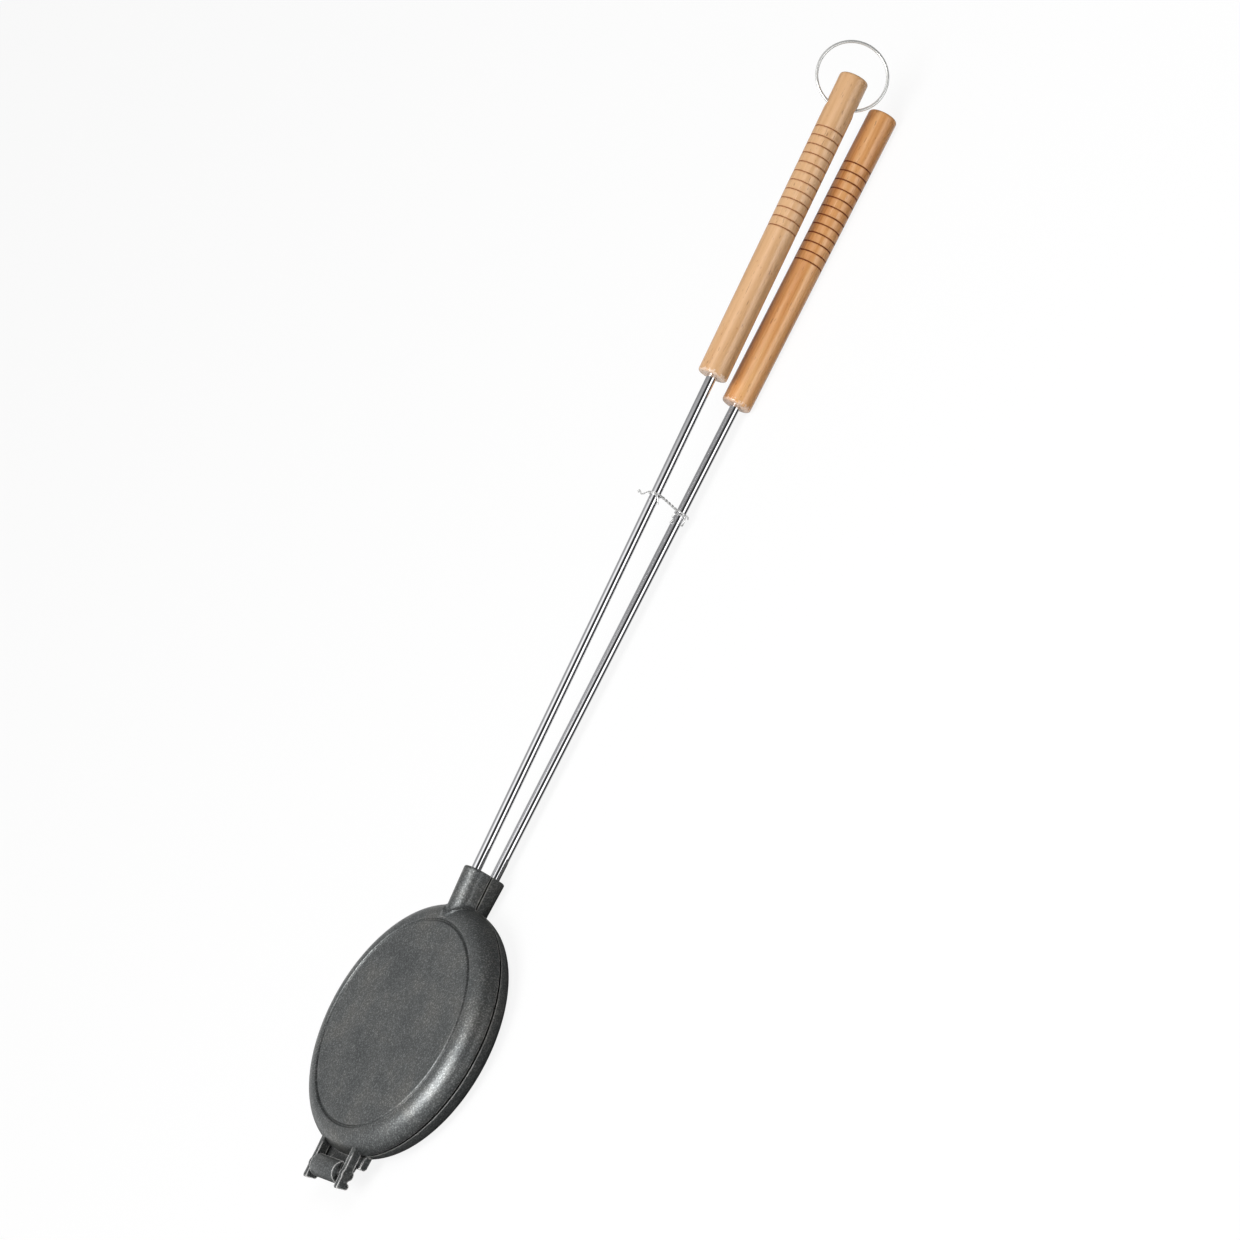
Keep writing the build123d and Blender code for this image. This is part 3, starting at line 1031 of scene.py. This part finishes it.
def twist(phase):
    """One strand of the tight pair between the rods. The other has the opposite phase."""
    top, foot = Vector((361.0, -2.2, 7.4)), Vector((359.1, -1.9, -6.6))
    steps, rounds = 20, 2.5
    out = []
    for i in range(steps + 1):
        a = phase + 2 * pi * rounds * i / steps
        out.append(top.lerp(foot, i / steps) + Vector((tie_r * cos(a), tie_r * sin(a), 0)))
    return loose(*out)


first_strand = loose((356.6, 2.6, 20.9), (357.4, 2.8, 22.4), (357.9, 1.3, 21.6))
first_strand += loose((356.0, 1.6, 19.6), (357.6, 0.2, 18.2), (359.6, -0.6, 16.8))
first_strand += round_rod("upper", 360.6, 361.1, range(95, -46, -35))
first_strand += twist(-pi / 2)
first_strand += round_rod("lower", 359.3, 359.0, range(75, -31, -35))
first_strand += loose((358.8, -4.2, -14.2), (357.6, -4.9, -14.6), (357.2, -6.0, -14.0))

second_strand = loose((354.9, -4.9, 9.4), (356.6, -4.1, 10.2), (358.4, -4.4, 10.8))
second_strand += round_rod("upper", 359.8, 360.0, range(15, 261, 35))
second_strand += twist(pi / 2)
second_strand += round_rod("lower", 358.6, 357.6, range(100, 416, 35))
second_strand += loose((356.4, -1.6, -6.6), (354.6, 0.2, -6.4), (353.2, -1.6, -7.9))
second_strand += loose((351.4, -0.8, -6.6), (350.4, 0.4, -7.8), (351.6, -0.6, -8.9))

third_strand = round_rod("lower", 360.2, 358.0, (80, 45, 10, -20))
third_strand += loose((355.8, -4.4, -13.2), (353.2, -3.9, -13.8))
third_strand += loose((351.6, -4.6, -13.0), (352.2, -4.4, -12.0))
wire_tie = wire("rod_tie", (first_strand, second_strand, third_strand), tie_r, tie_steel)

# %% [markdown]
# ## What rides on what
# Every piece rides on the body that carries it, and it stands for the CAD node whose
# place it takes.

# %% Ride and replace
body_of_side = {"lower": "lower_half", "upper": "upper_half"}
for side in ("lower", "upper"):
    body = body_of_side[side]
    for piece in (castings[side], studs[side], rods[side], grips[side], lines[side]):
        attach(piece, body)
    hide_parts(f"{side}_plate")
    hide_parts(f"{side}_rod")
    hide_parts(f"{side}_grip")
    print(body, "carries five pieces of the", side, "side")
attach(hang_ring, "ring")
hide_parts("hang_ring")
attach(wire_tie, "upper_half")
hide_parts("wire_tie")

# %% [markdown]
# ## Floor and light
# The iron lies on the hinge side of its lower panel and on the end of the lower grip,
# so the floor is tipped by one degree to touch both. It shows as white to the camera,
# and a share of it stays a plain diffuse floor, which keeps the shadow. It is hidden
# from reflections, because the world below stands in for it there. One large lamp hangs
# over the head. A second one lights the grips from the front, and reflections don't
# show it. An even world fills the rest.

# %% Floor
panel_end_x = -panel_r
grip_end_x = 643.0
grip_drop = -11.7
floor_slope = grip_drop / (grip_end_x - panel_end_x)
floor_half = 9000


def floor_height(x):
    """Height of the tipped floor under a place along the iron."""
    return floor_slope * (x - panel_end_x)


def seen_directly(tree):
    """1 for rays from the camera, from a mirror or through glass, and 0 for soft light."""
    rays = add(tree, "ShaderNodeLightPath").outputs
    first = calc(tree, "MAXIMUM", rays["Is Camera Ray"], rays["Is Glossy Ray"])
    return calc(tree, "MAXIMUM", first, rays["Is Transmission Ray"])


corners = [(x * floor_half, y * floor_half) for x, y in ((-1, -1), (1, -1), (1, 1), (-1, 1))]
floor = new_piece("studio_floor", [(x, y, floor_height(x) - 0.05) for x, y in corners], [(0, 1, 2, 3)])
floor_finish, floor_tree, floor_shader = material("studio_floor")
floor_shader.inputs["Base Color"].default_value = (0.55, 0.55, 0.55, 1)
floor_shader.inputs["Roughness"].default_value = 0.9
floor_shader.inputs["Specular IOR Level"].default_value = 0.1
glow = add(floor_tree, "ShaderNodeEmission", {"Color": (1, 1, 1, 1), "Strength": 1.10})
share = calc(floor_tree, "MULTIPLY", seen_directly(floor_tree), 0.80)
shaders = {0: share, 1: floor_shader.outputs["BSDF"], 2: glow.outputs["Emission"]}
mix = add(floor_tree, "ShaderNodeMixShader", shaders)
floor_tree.links.new(mix.outputs["Shader"], floor_tree.nodes["Material Output"].inputs["Surface"])
dress(floor, floor_finish)
floor.visible_glossy = False
print("floor drops", round(-1000 * floor_slope, 1), "mm per metre")

# %% Lamps
def soft_lamp(name, place, target, size, power):
    """Square area lamp at place, facing the target."""
    data = bpy.data.lights.new(name, "AREA")
    data.size = size
    data.energy = power
    lamp = link(name, data)
    facing = (Vector(target) - Vector(place)).to_track_quat("-Z", "Y")
    lamp.matrix_world = Matrix.Translation(place) @ facing.to_matrix().to_4x4()
    return lamp


soft_lamp("overhead_lamp", (-0.72, -0.50, 2.08), (0.0, 0, 0), 1.3, 39)
fill_lamp = soft_lamp("fill_lamp", (0.90, -1.20, 1.75), (0.45, 0, 0), 1.0, 17)
fill_lamp.visible_glossy = False

# %% [markdown]
# ### What bright metal sees
# A plated rod is a mirror, so in an even white room it looks like white plastic. A
# studio hangs pale and dark cards round such a thing. Here the world holds them: the
# direction of a ray is turned into an angle round the rods, and a ramp over that angle
# gives pale and dark bands. Only reflected rays meet the bands. The camera sees white,
# and the soft light stays even.

# %% Dark card
# The floor is hidden from reflections, so a dark oval card lies on it under and beside
# the head, where a real floor would hold the head's shadow and reflection.
card_turns = [2 * pi * i / 48 for i in range(48)]
card_oval = [(-30 + 160 * cos(a), -110 + 300 * sin(a)) for a in card_turns]
card_points = [(x, y, floor_height(x) + 0.05) for x, y in card_oval]
card = new_piece("dark_card", card_points, [tuple(range(len(card_points)))])
card_finish, _, card_shader = material("dark_card")
card_shader.inputs["Base Color"].default_value = (0.09, 0.09, 0.09, 1)
card_shader.inputs["Roughness"].default_value = 1.0
dress(card, card_finish)
card.visible_camera = False
card.visible_diffuse = False
card.visible_shadow = False
report(card)

# %% World
world = bpy.data.worlds.new("studio")
bpy.context.scene.world = world
world.use_nodes = True
world_tree = world.node_tree
backdrop = world_tree.nodes["Background"]
ray = split(world_tree, add(world_tree, "ShaderNodeTexCoord").outputs["Generated"])
around = calc(world_tree, "ARCTAN2", ray["Z"], calc(world_tree, "MULTIPLY", ray["Y"], -1.0))
bands = (
    (-180, 0.95), (-160, 0.50), (-120, 0.55), (-96, 0.50), (-82, 0.03),
    (-40, 0.02), (-32, 0.95), (-16, 1.00), (-10, 2.50), (2, 2.50),
    (6, 0.50), (12, 0.03), (48, 0.03), (58, 0.30), (65, 1.00),
    (90, 1.00), (103, 0.50), (125, 0.32), (156, 0.30), (174, 0.80),
    (180, 0.95),
)
band_stops = [((angle + 180) / 360, level) for angle, level in bands]
cards = ramp(world_tree, remap(world_tree, around, -pi, pi), band_stops)
print("world", len(bands), "bands round the rods")

# %% [markdown]
# ### Ends of the room
# The bands go round the rods, but a ray can also run along them. Two ramps over X dim
# the ends of the room, one below the horizon and one above. The darker of band and end
# wins, so the one strong softbox stays short. Far to the left all rays meet one grey.

# %% Ends of the room
left_levels = ((-1.0, 0.30), (-0.7, 0.35), (-0.35, 1.0))
right_levels = ((0.68, 0.12), (1.0, 0.08))
low_levels = (*left_levels, (-0.1, 1.0), (0.0, 2.5), (0.32, 2.5), (0.40, 1.0), *right_levels)
high_levels = (*left_levels, (0.172, 1.0), (0.203, 0.27), (0.5, 0.27), *right_levels)
lengthwise = remap(world_tree, ray["X"], -1.0, 1.0)
low_room = ramp(world_tree, lengthwise, [((x + 1) / 2, level) for x, level in low_levels])
high_room = ramp(world_tree, lengthwise, [((x + 1) / 2, level) for x, level in high_levels])
above = calc(world_tree, "GREATER_THAN", ray["Z"], 0.0)
ends = blend(world_tree, above, low_room, high_room)
banded = blend(world_tree, 1.0, cards, ends, "DARKEN")
far_left = remap(world_tree, ray["X"], -0.25, -0.60)
room = blend(world_tree, far_left, banded, (0.45, 0.45, 0.45, 1))
print("ends", len(low_levels), "stops below the horizon,", len(high_levels), "above")

# %% World light
rays = add(world_tree, "ShaderNodeLightPath").outputs
even = remap(world_tree, rays["Is Camera Ray"], 0, 1, 0.25, 1.0)
bright = calc(world_tree, "MULTIPLY", rays["Is Glossy Ray"], 1.15)
tint = blend(world_tree, rays["Is Glossy Ray"], (1, 1, 1, 1), room)
world_tree.links.new(tint, backdrop.inputs["Color"])
world_tree.links.new(calc(world_tree, "MAXIMUM", even, bright), backdrop.inputs["Strength"])
print("world", len(world_tree.nodes), "nodes")

# %% [markdown]
# ## View and finish
# The Standard view keeps white white.

# %% View
view = bpy.context.scene.view_settings
view.view_transform = "Standard"
print("view", view.view_transform)
